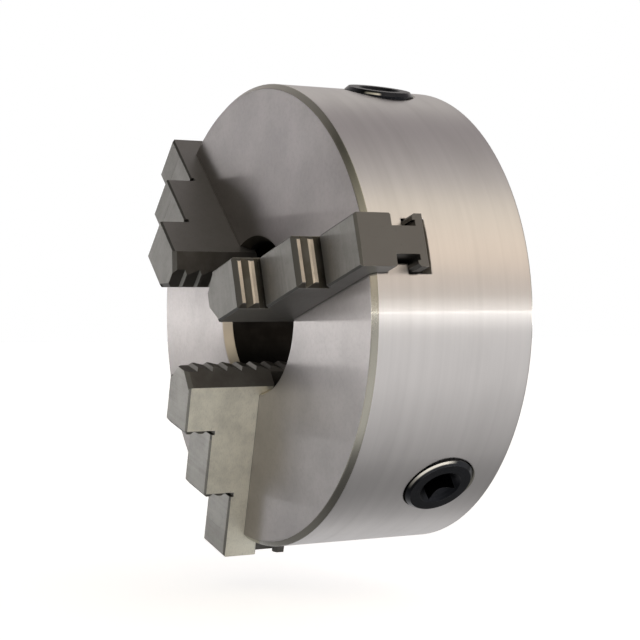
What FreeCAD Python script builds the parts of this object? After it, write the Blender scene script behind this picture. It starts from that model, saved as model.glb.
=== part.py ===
import FreeCAD, Part
import math
import os

# Three-jaw self-centring scroll chuck, 200 mm, with one-piece internal jaws.
#
# Everything is modelled in a bench frame: the chuck lies on its back, its axis is Z,
# the rear mounting face is Z = 0 and the front face is Z = BODY_LENGTH.  Angles run
# anticlockwise seen from the front, from +X.  On export each piece is turned 90 degrees
# about X, so that the finished part has its axis along Y, its face towards -Y and +Z up.
# Lengths are millimetres and angles are degrees.  "Depth" is measured back from the front
# face, "height" forward of it.

# ---- driving dimensions ---------------------------------------------------------------

BODY_DIAMETER = 200.0
BODY_LENGTH = 75.0
BORE_DIAMETER = 65.0
REGISTER_DIAMETER = 165.0
REGISTER_DEPTH = 5.0
MOUNTING_PCD = 180.0
MOUNTING_HOLE_DIAMETER = 8.5
MOUNTING_HOLE_DEPTH = 22.0
JAW_COUNT = 3
FIRST_JAW_ANGLE = 15.0
SCROLL_PITCH = 10.0
KEY_SQUARE = 12.0
RUNNING_GAP = 0.05

# ---- body -----------------------------------------------------------------------------

BODY_RADIUS = BODY_DIAMETER / 2.0
BORE_RADIUS = BORE_DIAMETER / 2.0
FACE_CHAMFER = 2.2
REAR_CHAMFER = 1.0
BORE_CHAMFER_WIDTH = 2.2
BORE_CHAMFER_DEPTH = 4.0
CAVITY_RADIUS = 81.8
CAVITY_ROOF_DEPTH = 21.4
HUB_RADIUS = 43.9
COVER_THICKNESS = 8.0
HUB_REAR = REGISTER_DEPTH + COVER_THICKNESS
HOLE_MOUTH_CHAMFER = 0.6
HOLE_MOUTH_DEPTH = 1.8

# ---- jaw slides -----------------------------------------------------------------------

JAW_WIDTH = 21.5
SLOT_SIDE_GAP = 0.1
SLOT_FOOT_GAP = 0.5
SLOT_DEPTH = 27.0
RAIL_TOP_DEPTH = 7.1
RAIL_BOTTOM_DEPTH = 16.4
RAIL_REACH = 3.6
RAIL_GAP = 0.1

# ---- jaws -----------------------------------------------------------------------------

TIP_RADIUS = 21.85
TIP_FLAT = 7.4
TIP_SHOULDER_RADIUS = 29.0
FIRST_RISER_RADIUS = 50.3
SECOND_RISER_RADIUS = 79.2
JAW_END_RADIUS = 107.3
TOP_HEIGHT = 33.3
MIDDLE_HEIGHT = 21.25
LOW_HEIGHT = 9.0
NECK_WIDTH = 11.4
NECK_RELIEF_WIDTH = 2.4
NECK_RELIEF_DEPTH = 1.2
LIP_CHAMFER = 1.2
FOOT_DEPTH = 21.1
JAW_TOOTH_DEPTH = 26.6
JAW_TOOTH_THICKNESS = 3.8
JAW_TOOTH_LIMIT_RADIUS = 101.0
JAW_TOOTH_ARC_SPARE = 1.0
JAW_STEP_SEARCH = 12
JAW_END_CHAMFER = 1.0
STEP_EDGE_CHAMFER = 0.8
TIP_EDGE_CHAMFER = 1.6
SHOULDER_CHAMFER = 0.6

# Gripping serrations: two saw ribs on each riser, and saw teeth all down the tip.
RIBS_PER_RISER = 2
SERRATION_DEPTH = 1.9
SERRATION_LEAD = 1.8
SERRATION_LAND = 1.5
SERRATION_DROP = 0.8
SERRATION_PITCH = 5.8
RIB_END_CHAMFER = 2.0
TIP_TOOTH_PITCH = 7.0
TIP_TOOTH_DEPTH = 1.5
TIP_TOOTH_LAND = 1.2
TIP_TOOTH_DROP = 0.8
CORNER_RELIEF_WIDTH = 1.9
CORNER_RELIEF_DEPTH = 1.9
GROUND_LAND_SHARE = 0.60
GROUND_LAND_DEPTH = 0.05

# ---- scroll ---------------------------------------------------------------------------

SCROLL_RADIUS = 81.6
RIB_CREST_DEPTH = 21.6
RIB_THICKNESS = 4.2
RIB_START_RADIUS = 48.0
RIB_END_RADIUS = 79.6
RIB_START_ANGLE = 40.0
RIB_ARC_STEP = 45.0
SPIRAL_RISE = SCROLL_PITCH / 360.0

# ---- bevel drive ----------------------------------------------------------------------

CROWN_TEETH = 72
PINION_TEETH = 10
PINION_HEIGHT = 27.4
GEAR_OUTER = 78.0
GEAR_INNER = 64.0
PRESSURE_ANGLE = 20.0
PINION_PITCH_RADIUS = GEAR_OUTER * PINION_TEETH / CROWN_TEETH
GEAR_MODULE = 2.0 * PINION_PITCH_RADIUS / PINION_TEETH
ADDENDUM = 0.80 * GEAR_MODULE
DEDENDUM = 1.25 * GEAR_MODULE
CROWN_TOOTH_SHARE = 0.45
PINION_TOOTH_SHARE = 0.42
PINION_TIP_SHARE = 0.15
PINION_ROOT_SHARE = 0.40
TOOTH_EMBED = 0.6
CROWN_ROOT_STEP = 0.06
SCROLL_BACK = PINION_HEIGHT + PINION_PITCH_RADIUS + DEDENDUM + CROWN_ROOT_STEP

# ---- pinions --------------------------------------------------------------------------

JOURNAL_RADIUS = 15.0
PINION_END_RADIUS = 101.5
PINION_END_CHAMFER = 1.5
COLLAR_RADIUS = 12.9
COLLAR_START = 79.0
COLLAR_END = 82.3
TAIL_RADIUS = 5.0
TAIL_INNER_END = 38.6
TAIL_HOLE_END = 38.2
TAIL_CHAMFER = 0.6
SOCKET_DEPTH = 16.0
SOCKET_TURN = 33.0
SOCKET_MOUTH_RADIUS = 9.2
SOCKET_MOUTH_DEPTH = 1.8
RETAINING_GROOVE_RADIUS = 12.0
RETAINING_GROOVE_WIDTH = 6.3

# ---- retaining screws, back cover and its screws ---------------------------------------

RETAINER_RADIUS = 4.0
RETAINER_DOG_RADIUS = 3.0
RETAINER_CIRCLE = 90.0
RETAINER_HEAD = 0.6
RETAINER_SHOULDER = 8.0
RETAINER_DOG_GAP = 0.3
RETAINER_TIP = PINION_HEIGHT - RETAINING_GROOVE_RADIUS - RETAINER_DOG_GAP
RETAINER_SLOT_WIDTH = 1.4
RETAINER_SLOT_DEPTH = 1.8
COVER_RADIUS = 81.7
COVER_BORE_RADIUS = 33.0
COVER_BOSS_RADIUS = 58.0
SCROLL_END_PLAY = 0.3
COVER_BOSS_TOP = SCROLL_BACK - SCROLL_END_PLAY
TAIL_PASSAGE_RADIUS = 5.3
COVER_SCREW_COUNT = 6
COVER_SCREW_CIRCLE = 38.2
COVER_SCREW_FIRST_ANGLE = 45.0
SCREW_SHANK_RADIUS = 2.0
SCREW_HEAD_RADIUS = 3.5
SCREW_HEAD_HEIGHT = 2.8
SCREW_LENGTH = 14.0
SCREW_HOLE_RUNOUT = 1.0
SCREW_HEX = 2.5
HEX_SIDES = 6
SCREW_HEX_DEPTH = 1.6
COUNTERBORE_RADIUS = 3.7
COUNTERBORE_DEPTH = 3.1

OVERSHOOT = 5.0
FULL_TURN = 360.0
BENCH_TILT = 90.0
ORIGIN = FreeCAD.Vector(0, 0, 0)
X_AXIS = FreeCAD.Vector(1, 0, 0)
Z_AXIS = FreeCAD.Vector(0, 0, 1)


# ---- small geometry helpers -------------------------------------------------------------

def at_depth(depth):
    """Bench height of a level given as its depth behind the front face."""
    return BODY_LENGTH - depth


def at_height(height):
    """Bench height of a level given as its height in front of the front face."""
    return BODY_LENGTH + height


def turned(shape, degrees):
    """A copy of a shape turned about the chuck axis."""
    copy = shape.copy()
    copy.rotate(ORIGIN, Z_AXIS, degrees)
    return copy


def polygon_face(points):
    wire = Part.makePolygon([FreeCAD.Vector(*point) for point in points + points[:1]])
    return Part.Face(wire)


def revolved(profile):
    """Solid of revolution about the chuck axis, from (radius, height) corners."""
    return polygon_face([(radius, 0, z) for radius, z in profile]).revolve(ORIGIN, Z_AXIS, FULL_TURN)


def radial_turning(profile):
    """Solid of revolution about X, from (distance along X, radius) corners."""
    return polygon_face([(x, radius, 0) for x, radius in profile]).revolve(ORIGIN, X_AXIS, FULL_TURN)


def plan_prism(points, low, high):
    """Prism along the chuck axis over an outline in plan."""
    face = polygon_face([(x, y, low) for x, y in points])
    return face.extrude(FreeCAD.Vector(0, 0, high - low))


def side_prism(points, width):
    """Prism across a jaw, centred on it, over a (radius, height) outline."""
    face = polygon_face([(x, -width / 2.0, z) for x, z in points])
    return face.extrude(FreeCAD.Vector(0, width, 0))


def block(x_low, x_high, y_low, y_high, z_low, z_high):
    corner = FreeCAD.Vector(x_low, y_low, z_low)
    return Part.makeBox(x_high - x_low, y_high - y_low, z_high - z_low, corner)


def upright_cylinder(radius, low, high, circle=0.0):
    """Cylinder parallel to the chuck axis, standing on the X axis at a given circle."""
    return Part.makeCylinder(radius, high - low, FreeCAD.Vector(circle, 0, low), Z_AXIS)


def radial_cylinder(radius, inner, outer):
    """Cylinder lying along X at the height of the pinion axes."""
    return Part.makeCylinder(radius, outer - inner, FreeCAD.Vector(inner, 0, PINION_HEIGHT), X_AXIS)


def regular_prism(sides, across_flats, low, high, circle):
    """Upright prism with a regular polygon for its section."""
    corner_radius = across_flats / 2.0 / math.cos(math.pi / sides)
    corners = [
        (
            circle + corner_radius * math.cos(2.0 * math.pi * index / sides),
            corner_radius * math.sin(2.0 * math.pi * index / sides),
        )
        for index in range(sides)
    ]
    return plan_prism(corners, low, high)


def single_solid(shape):
    """The one solid of a finished piece; more than one would be a modelling mistake."""
    solids = shape.removeSplitter().Solids
    if len(solids) != 1:
        raise ValueError("a piece has %d solids" % len(solids))
    return solids[0]


def jaw_angle(index):
    return FIRST_JAW_ANGLE + index * FULL_TURN / JAW_COUNT


def pinion_angle(index):
    return jaw_angle(index) + FULL_TURN / JAW_COUNT / 2.0


def screw_angle(index):
    return COVER_SCREW_FIRST_ANGLE + index * FULL_TURN / COVER_SCREW_COUNT


# ---- chuck body -------------------------------------------------------------------------

def body_blank():
    """Turned body: front wall, outer wall, hub, register recess and scroll cavity."""
    roof = at_depth(CAVITY_ROOF_DEPTH)
    face = BODY_LENGTH
    register = REGISTER_DIAMETER / 2.0
    return revolved([
        (register, 0),
        (BODY_RADIUS - REAR_CHAMFER, 0),
        (BODY_RADIUS, REAR_CHAMFER),
        (BODY_RADIUS, face - FACE_CHAMFER),
        (BODY_RADIUS - FACE_CHAMFER, face),
        (BORE_RADIUS + BORE_CHAMFER_WIDTH, face),
        (BORE_RADIUS, face - BORE_CHAMFER_DEPTH),
        (BORE_RADIUS, HUB_REAR),
        (HUB_RADIUS, HUB_REAR),
        (HUB_RADIUS, roof),
        (CAVITY_RADIUS, roof),
        (CAVITY_RADIUS, REGISTER_DEPTH),
        (register, REGISTER_DEPTH),
    ])


def jaw_slot():
    """Slot with a guide rail left standing on each side, open at the bore and the rim."""
    half_width = JAW_WIDTH / 2.0 + SLOT_SIDE_GAP
    half_foot = JAW_WIDTH / 2.0 + SLOT_FOOT_GAP
    half_throat = half_width - RAIL_REACH
    outer = BODY_RADIUS + OVERSHOOT
    face = BODY_LENGTH + OVERSHOOT
    upper = block(0, outer, -half_width, half_width, at_depth(RAIL_TOP_DEPTH), face)
    throat = block(0, outer, -half_throat, half_throat, at_depth(SLOT_DEPTH), face)
    lower = block(0, outer, -half_foot, half_foot, at_depth(SLOT_DEPTH), at_depth(RAIL_BOTTOM_DEPTH))
    return upper.fuse([throat, lower])


def pinion_hole():
    """Radial hole for a pinion's journal, with a broken edge and the tail's hole in the hub."""
    radius = JOURNAL_RADIUS + RUNNING_GAP
    journal = radial_cylinder(radius, CAVITY_RADIUS - OVERSHOOT, BODY_RADIUS + OVERSHOOT)
    mouth_start = BODY_RADIUS - HOLE_MOUTH_DEPTH
    mouth = radial_turning([
        (mouth_start, 0),
        (mouth_start, radius - HOLE_MOUTH_CHAMFER),
        (mouth_start + OVERSHOOT, radius - HOLE_MOUTH_CHAMFER + OVERSHOOT),
        (mouth_start + OVERSHOOT, 0),
    ])
    mouth.translate(FreeCAD.Vector(0, 0, PINION_HEIGHT))
    tail = radial_cylinder(TAIL_RADIUS + RUNNING_GAP, TAIL_HOLE_END, HUB_RADIUS + OVERSHOOT)
    return journal.fuse([mouth, tail])


def retainer_hole():
    """Stepped hole from the rear face down to the pinion's groove."""
    thread = upright_cylinder(RETAINER_RADIUS + RUNNING_GAP, 0, RETAINER_SHOULDER, RETAINER_CIRCLE)
    dog = upright_cylinder(RETAINER_DOG_RADIUS + RUNNING_GAP, 0, PINION_HEIGHT, RETAINER_CIRCLE)
    return thread.fuse(dog)


def mounting_hole():
    """Hole tapped M10 in the rear face, modelled at its tapping size with a drill point."""
    radius = MOUNTING_HOLE_DIAMETER / 2.0
    hole = revolved([
        (0, 0),
        (radius, 0),
        (radius, MOUNTING_HOLE_DEPTH),
        (0, MOUNTING_HOLE_DEPTH + radius / 2.0),
    ])
    hole.translate(FreeCAD.Vector(MOUNTING_PCD / 2.0, 0, 0))
    return hole


def make_chuck_body():
    cuts = []
    for index in range(JAW_COUNT):
        cuts.append(turned(jaw_slot(), jaw_angle(index)))
        cuts.append(turned(mounting_hole(), jaw_angle(index)))
        cuts.append(turned(pinion_hole(), pinion_angle(index)))
        cuts.append(turned(retainer_hole(), pinion_angle(index)))
    for index in range(COVER_SCREW_COUNT):
        shank = upright_cylinder(
            SCREW_SHANK_RADIUS + RUNNING_GAP,
            HUB_REAR - OVERSHOOT,
            screw_head_back() + SCREW_HEAD_HEIGHT + SCREW_LENGTH + SCREW_HOLE_RUNOUT,
            COVER_SCREW_CIRCLE,
        )
        cuts.append(turned(shank, screw_angle(index)))
    return single_solid(body_blank().cut(cuts))


# ---- scroll plate -----------------------------------------------------------------------

def polar_point(radius, degrees, z):
    angle = math.radians(degrees)
    return FreeCAD.Vector(radius * math.cos(angle), radius * math.sin(angle), z)


def spiral_edge(radius_at, start, end, z):
    """Archimedean spiral as a chain of arcs, each through three true points."""
    spans = max(1, math.ceil(abs(end - start) / RIB_ARC_STEP))
    step = (end - start) / spans
    edges = []
    for index in range(spans):
        angles = [start + (index + part) * step for part in (0.0, 0.5, 1.0)]
        points = [polar_point(radius_at(angle), angle, z) for angle in angles]
        edges.append(Part.Arc(*points).toShape())
    return edges


def spiral_band(radius_at, thickness, start, end, low, high):
    """Solid of constant radial thickness that follows a spiral."""
    half = thickness / 2.0
    inner = spiral_edge(lambda angle: radius_at(angle) - half, start, end, low)
    outer = spiral_edge(lambda angle: radius_at(angle) + half, end, start, low)
    closing = []
    for degrees, first, second in ((end, -half, half), (start, half, -half)):
        points = [polar_point(radius_at(degrees) + offset, degrees, low) for offset in (first, second)]
        closing.append(Part.LineSegment(*points).toShape())
    wire = Part.Wire(inner + closing[:1] + outer + closing[1:])
    return Part.Face(wire).extrude(FreeCAD.Vector(0, 0, high - low))


def rib_radius(degrees):
    return RIB_START_RADIUS + SPIRAL_RISE * (degrees - RIB_START_ANGLE)


def gear_point(along, across, up):
    """Point given from the apex where the chuck axis meets the pinion axes."""
    return FreeCAD.Vector(along, across, PINION_HEIGHT + up)


def tapered_tooth(section):
    """Straight bevel tooth whose edges all run to the apex, from its large-end section."""
    shrink = GEAR_INNER / GEAR_OUTER
    large = [gear_point(GEAR_OUTER, across, up) for across, up in section]
    small = [gear_point(GEAR_INNER, across * shrink, up * shrink) for across, up in section]
    count = len(section)
    faces = [Part.Face(Part.makePolygon(ring + ring[:1])) for ring in (large, small)]
    for index in range(count):
        following = (index + 1) % count
        side = [large[index], large[following], small[following], small[index], large[index]]
        faces.append(Part.Face(Part.makePolygon(side)))
    solid = Part.Solid(Part.Shell(faces))
    if solid.Volume < 0:
        solid.reverse()
    return solid


def crown_tooth():
    slope = math.tan(math.radians(PRESSURE_ANGLE))
    pitch_half = math.pi * GEAR_MODULE * CROWN_TOOTH_SHARE / 2.0
    tip_half = pitch_half - ADDENDUM * slope
    root_half = pitch_half + (DEDENDUM + TOOTH_EMBED) * slope
    tip = PINION_PITCH_RADIUS - ADDENDUM
    root = PINION_PITCH_RADIUS + DEDENDUM + TOOTH_EMBED
    return tapered_tooth([(-tip_half, tip), (tip_half, tip), (root_half, root), (-root_half, root)])


def make_scroll_plate():
    crest = at_depth(RIB_CREST_DEPTH)
    root = at_depth(SLOT_DEPTH)
    gear_shrink = GEAR_INNER / GEAR_OUTER
    gear_root = PINION_PITCH_RADIUS + DEDENDUM
    inner = HUB_RADIUS + RUNNING_GAP
    plate = revolved([
        (inner, SCROLL_BACK),
        (GEAR_INNER, SCROLL_BACK),
        (GEAR_INNER, PINION_HEIGHT + gear_root * gear_shrink),
        (GEAR_OUTER, PINION_HEIGHT + gear_root),
        (GEAR_OUTER, SCROLL_BACK),
        (SCROLL_RADIUS, SCROLL_BACK),
        (SCROLL_RADIUS, root),
        (inner, root),
    ])
    rib_end_angle = RIB_START_ANGLE + (RIB_END_RADIUS - RIB_START_RADIUS) / SPIRAL_RISE
    rib = spiral_band(
        rib_radius, RIB_THICKNESS, RIB_START_ANGLE, rib_end_angle, root - TOOTH_EMBED, crest
    )
    teeth = [
        turned(crown_tooth(), pinion_angle(0) + index * FULL_TURN / CROWN_TEETH)
        for index in range(CROWN_TEETH)
    ]
    return single_solid(plate.fuse([rib] + teeth))


# ---- jaws -------------------------------------------------------------------------------

def riser_outline(radius, top, bottom):
    """Serrated riser from its top edge down to the relief groove in its inside corner."""
    root = radius - SERRATION_DEPTH
    points = [(root, top)]
    for rib in range(RIBS_PER_RISER):
        land_start = top - SERRATION_LEAD - rib * SERRATION_PITCH
        land_end = land_start - SERRATION_LAND
        points += [(radius, land_start), (radius, land_end), (root, land_end - SERRATION_DROP)]
    relief = bottom - CORNER_RELIEF_DEPTH
    wall = root + CORNER_RELIEF_WIDTH
    points += [(root, relief), (wall, relief), (wall, bottom)]
    return points


def tip_outline(top, bottom):
    """Saw teeth down the gripping tip, from the bottom up."""
    points = []
    level = bottom
    while level + TIP_TOOTH_PITCH <= top:
        points.append((TIP_RADIUS + TIP_TOOTH_DEPTH, level))
        points.append((TIP_RADIUS, level + TIP_TOOTH_PITCH - TIP_TOOTH_LAND - TIP_TOOTH_DROP))
        points.append((TIP_RADIUS, level + TIP_TOOTH_PITCH - TIP_TOOTH_DROP))
        level += TIP_TOOTH_PITCH
    points.append((TIP_RADIUS + TIP_TOOTH_DEPTH, level))
    return points


def jaw_side_outline():
    """(radius, height above the face) outline of a jaw seen from the side."""
    tip_bottom = -FOOT_DEPTH
    outline = [(TIP_RADIUS + TIP_TOOTH_DEPTH, TOP_HEIGHT)]
    outline += riser_outline(FIRST_RISER_RADIUS, TOP_HEIGHT, MIDDLE_HEIGHT)
    outline += riser_outline(SECOND_RISER_RADIUS, MIDDLE_HEIGHT, LOW_HEIGHT)
    outline += [
        (JAW_END_RADIUS - JAW_END_CHAMFER, LOW_HEIGHT),
        (JAW_END_RADIUS, LOW_HEIGHT - JAW_END_CHAMFER),
        (JAW_END_RADIUS, tip_bottom),
    ]
    outline += tip_outline(TOP_HEIGHT, tip_bottom)
    return [(radius, at_height(height)) for radius, height in outline]


def jaw_plan_outline():
    """Outline of a jaw seen along the chuck axis, with its V-shaped gripping tip."""
    half = JAW_WIDTH / 2.0
    return [
        (TIP_RADIUS, -TIP_FLAT / 2.0),
        (TIP_SHOULDER_RADIUS, -half),
        (JAW_END_RADIUS, -half),
        (JAW_END_RADIUS, half),
        (TIP_SHOULDER_RADIUS, half),
        (TIP_RADIUS, TIP_FLAT / 2.0),
    ]


def guide_groove(side):
    """Cut for one side groove on the body's rail, with the relief in its lower inside corner."""
    half = JAW_WIDTH / 2.0
    neck = NECK_WIDTH / 2.0
    relief = neck + NECK_RELIEF_WIDTH
    top = at_depth(RAIL_TOP_DEPTH - RAIL_GAP)
    bottom = at_depth(RAIL_BOTTOM_DEPTH + RAIL_GAP)
    section = [
        (neck, top),
        (half - SHOULDER_CHAMFER, top),
        (half, top + SHOULDER_CHAMFER),
        (half + OVERSHOOT, top + SHOULDER_CHAMFER),
        (half + OVERSHOOT, bottom - LIP_CHAMFER),
        (half, bottom - LIP_CHAMFER),
        (half - LIP_CHAMFER, bottom),
        (relief, bottom),
        (relief, bottom - NECK_RELIEF_DEPTH),
        (neck, bottom - NECK_RELIEF_DEPTH),
    ]
    face = polygon_face([(0, side * across, z) for across, z in section])
    return face.extrude(FreeCAD.Vector(JAW_END_RADIUS + OVERSHOOT, 0, 0))


def edge_bevel(start, end, outward, level, size):
    """Wedge that bevels a level edge, given its two plan points and its outward direction."""
    low = -(size + OVERSHOOT)
    section = [(OVERSHOOT, low), (OVERSHOOT, OVERSHOOT), (low, OVERSHOOT)]
    corners = [
        (start[0] + out * outward[0], start[1] + out * outward[1], level + up)
        for out, up in section
    ]
    return polygon_face(corners).extrude(FreeCAD.Vector(end[0] - start[0], end[1] - start[1], 0))


def jaw_edge_bevels(side):
    """Bevels along one side of the three steps and of the V-shaped tip."""
    half = side * JAW_WIDTH / 2.0
    outward = (0, side)
    steps = (
        (TIP_SHOULDER_RADIUS, FIRST_RISER_RADIUS, TOP_HEIGHT),
        (FIRST_RISER_RADIUS, SECOND_RISER_RADIUS, MIDDLE_HEIGHT),
        (SECOND_RISER_RADIUS, JAW_END_RADIUS, LOW_HEIGHT),
    )
    bevels = [
        edge_bevel((inner, half), (outer, half), outward, at_height(height), STEP_EDGE_CHAMFER)
        for inner, outer, height in steps
    ]
    run = TIP_SHOULDER_RADIUS - TIP_RADIUS
    rise = (JAW_WIDTH - TIP_FLAT) / 2.0
    length = math.hypot(run, rise)
    tip_outward = (-rise / length, side * run / length)
    shoulder = (TIP_SHOULDER_RADIUS, half)
    tip_start = (TIP_RADIUS - run, side * (TIP_FLAT / 2.0 - rise))
    bevels.append(edge_bevel(tip_start, shoulder, tip_outward, at_height(TOP_HEIGHT), TIP_EDGE_CHAMFER))
    return bevels


def rib_end_chamfers(radius, top, bottom):
    """Wedges that take the corners off the ends of the serrated ribs of one riser."""
    half = JAW_WIDTH / 2.0
    wedges = []
    for side in (-1, 1):
        corners = [
            (radius + OVERSHOOT, side * (half - RIB_END_CHAMFER - OVERSHOOT)),
            (radius + OVERSHOOT, side * (half + OVERSHOOT)),
            (radius - RIB_END_CHAMFER - OVERSHOOT, side * (half + OVERSHOOT)),
        ]
        wedges.append(plan_prism(corners, at_height(bottom), at_height(top)))
    return wedges


def ground_land(radius, next_radius, height):
    """Shallow turned land on a step, from its inside corner part of the way out."""
    land_end = radius + GROUND_LAND_SHARE * (next_radius - radius)
    low = at_height(height - GROUND_LAND_DEPTH)
    outer = upright_cylinder(land_end, low, at_height(height))
    return outer.cut(upright_cylinder(radius - SERRATION_DEPTH, low, at_height(height)))


def jaw_tooth(radius):
    """Tooth on the underside of a jaw, shaped to the scroll's groove at that radius."""
    reach = math.degrees(math.asin((JAW_WIDTH / 2.0 + JAW_TOOTH_ARC_SPARE) / radius))
    return spiral_band(
        lambda angle: radius + SPIRAL_RISE * angle,
        JAW_TOOTH_THICKNESS,
        -reach,
        reach,
        at_depth(JAW_TOOTH_DEPTH),
        at_depth(FOOT_DEPTH - TOOTH_EMBED),
    )


def groove_radii(degrees):
    """Radii at which the scroll's groove, or its continuation, crosses a jaw's centre line."""
    first = rib_radius(degrees) + SCROLL_PITCH / 2.0
    low = TIP_SHOULDER_RADIUS + JAW_TOOTH_THICKNESS / 2.0
    high = JAW_TOOTH_LIMIT_RADIUS - JAW_TOOTH_THICKNESS / 2.0
    steps = range(-JAW_STEP_SEARCH, JAW_STEP_SEARCH)
    radii = [first + step * SCROLL_PITCH for step in steps]
    return [radius for radius in radii if low <= radius <= high]


def make_jaw(index):
    """One jaw in its rest place; the three differ only in where their scroll teeth sit."""
    plan = plan_prism(jaw_plan_outline(), at_depth(JAW_TOOTH_DEPTH), at_height(TOP_HEIGHT))
    body = side_prism(jaw_side_outline(), JAW_WIDTH).common(plan)
    cuts = []
    for side in (-1, 1):
        cuts.append(guide_groove(side))
        cuts += jaw_edge_bevels(side)
    cuts += rib_end_chamfers(FIRST_RISER_RADIUS, TOP_HEIGHT, MIDDLE_HEIGHT)
    cuts += rib_end_chamfers(SECOND_RISER_RADIUS, MIDDLE_HEIGHT, LOW_HEIGHT)
    cuts.append(ground_land(FIRST_RISER_RADIUS, SECOND_RISER_RADIUS, MIDDLE_HEIGHT))
    cuts.append(ground_land(SECOND_RISER_RADIUS, JAW_END_RADIUS, LOW_HEIGHT))
    body = body.cut(cuts)
    teeth = [jaw_tooth(radius).common(plan) for radius in groove_radii(jaw_angle(index))]
    return single_solid(turned(body.fuse(teeth), jaw_angle(index)))


# ---- pinions ----------------------------------------------------------------------------

def pinion_turning():
    """Pinion blank: tail, root cone under the teeth, collar and grooved journal."""
    root = PINION_PITCH_RADIUS - DEDENDUM
    groove_inner = RETAINER_CIRCLE - RETAINING_GROOVE_WIDTH / 2.0
    groove_outer = RETAINER_CIRCLE + RETAINING_GROOVE_WIDTH / 2.0
    return radial_turning([
        (TAIL_INNER_END, 0),
        (TAIL_INNER_END, TAIL_RADIUS - TAIL_CHAMFER),
        (TAIL_INNER_END + TAIL_CHAMFER, TAIL_RADIUS),
        (GEAR_INNER, TAIL_RADIUS),
        (GEAR_INNER, root * GEAR_INNER / GEAR_OUTER),
        (GEAR_OUTER, root),
        (COLLAR_START, root),
        (COLLAR_START, COLLAR_RADIUS),
        (COLLAR_END, COLLAR_RADIUS),
        (COLLAR_END, JOURNAL_RADIUS),
        (groove_inner, JOURNAL_RADIUS),
        (groove_inner, RETAINING_GROOVE_RADIUS),
        (groove_outer, RETAINING_GROOVE_RADIUS),
        (groove_outer, JOURNAL_RADIUS),
        (PINION_END_RADIUS - PINION_END_CHAMFER, JOURNAL_RADIUS),
        (PINION_END_RADIUS, JOURNAL_RADIUS - PINION_END_CHAMFER),
        (PINION_END_RADIUS, 0),
    ])


def pinion_tooth():
    """Bevel tooth pointing along +Z from the pinion's own axis."""
    half_pitch = math.pi * GEAR_MODULE / 2.0
    root = PINION_PITCH_RADIUS - DEDENDUM - TOOTH_EMBED
    tip = PINION_PITCH_RADIUS + ADDENDUM
    return tapered_tooth([
        (-PINION_ROOT_SHARE * half_pitch, root),
        (PINION_ROOT_SHARE * half_pitch, root),
        (PINION_TOOTH_SHARE * half_pitch, PINION_PITCH_RADIUS),
        (PINION_TIP_SHARE * half_pitch, tip),
        (-PINION_TIP_SHARE * half_pitch, tip),
        (-PINION_TOOTH_SHARE * half_pitch, PINION_PITCH_RADIUS),
    ])


def key_socket():
    """Square socket for the chuck key, with a round countersunk mouth, about the X axis."""
    half = KEY_SQUARE / 2.0
    bottom = PINION_END_RADIUS - SOCKET_DEPTH
    square = block(bottom, PINION_END_RADIUS + OVERSHOOT, -half, half, -half, half)
    square.rotate(ORIGIN, X_AXIS, SOCKET_TURN)
    mouth = radial_turning([
        (PINION_END_RADIUS - SOCKET_MOUTH_DEPTH - SOCKET_MOUTH_RADIUS, 0),
        (PINION_END_RADIUS - SOCKET_MOUTH_DEPTH, SOCKET_MOUTH_RADIUS - SOCKET_MOUTH_DEPTH),
        (PINION_END_RADIUS, SOCKET_MOUTH_RADIUS),
        (PINION_END_RADIUS + OVERSHOOT, SOCKET_MOUTH_RADIUS),
        (PINION_END_RADIUS + OVERSHOOT, 0),
    ])
    return square.fuse(mouth)


def make_pinion(index):
    """Bevel pinion, with a tooth gap under the crown tooth that lies on its axis."""
    blank = pinion_turning().cut(key_socket())
    blank.translate(FreeCAD.Vector(0, 0, PINION_HEIGHT))
    axis_point = FreeCAD.Vector(0, 0, PINION_HEIGHT)
    teeth = []
    for tooth_index in range(PINION_TEETH):
        tooth = pinion_tooth()
        tooth.rotate(axis_point, X_AXIS, (tooth_index + 0.5) * FULL_TURN / PINION_TEETH)
        teeth.append(tooth)
    return single_solid(turned(blank.fuse(teeth), pinion_angle(index)))


def make_pinion_retainer(index):
    """Slotted grub screw whose plain dog end stands in the pinion's groove."""
    screw = revolved([
        (0, RETAINER_HEAD),
        (RETAINER_RADIUS, RETAINER_HEAD),
        (RETAINER_RADIUS, RETAINER_SHOULDER - RUNNING_GAP),
        (RETAINER_DOG_RADIUS, RETAINER_SHOULDER - RUNNING_GAP),
        (RETAINER_DOG_RADIUS, RETAINER_TIP),
        (0, RETAINER_TIP),
    ])
    slot = block(
        -RETAINER_RADIUS,
        RETAINER_RADIUS,
        -RETAINER_SLOT_WIDTH / 2.0,
        RETAINER_SLOT_WIDTH / 2.0,
        RETAINER_HEAD,
        RETAINER_HEAD + RETAINER_SLOT_DEPTH,
    )
    screw = screw.cut(slot)
    screw.translate(FreeCAD.Vector(RETAINER_CIRCLE, 0, 0))
    return single_solid(turned(screw, pinion_angle(index)))


# ---- back cover and its screws ------------------------------------------------------------

def screw_head_back():
    """Level of the outer side of a cover screw's head, a little below the cover's back."""
    return REGISTER_DEPTH + COUNTERBORE_DEPTH - SCREW_HEAD_HEIGHT


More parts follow.
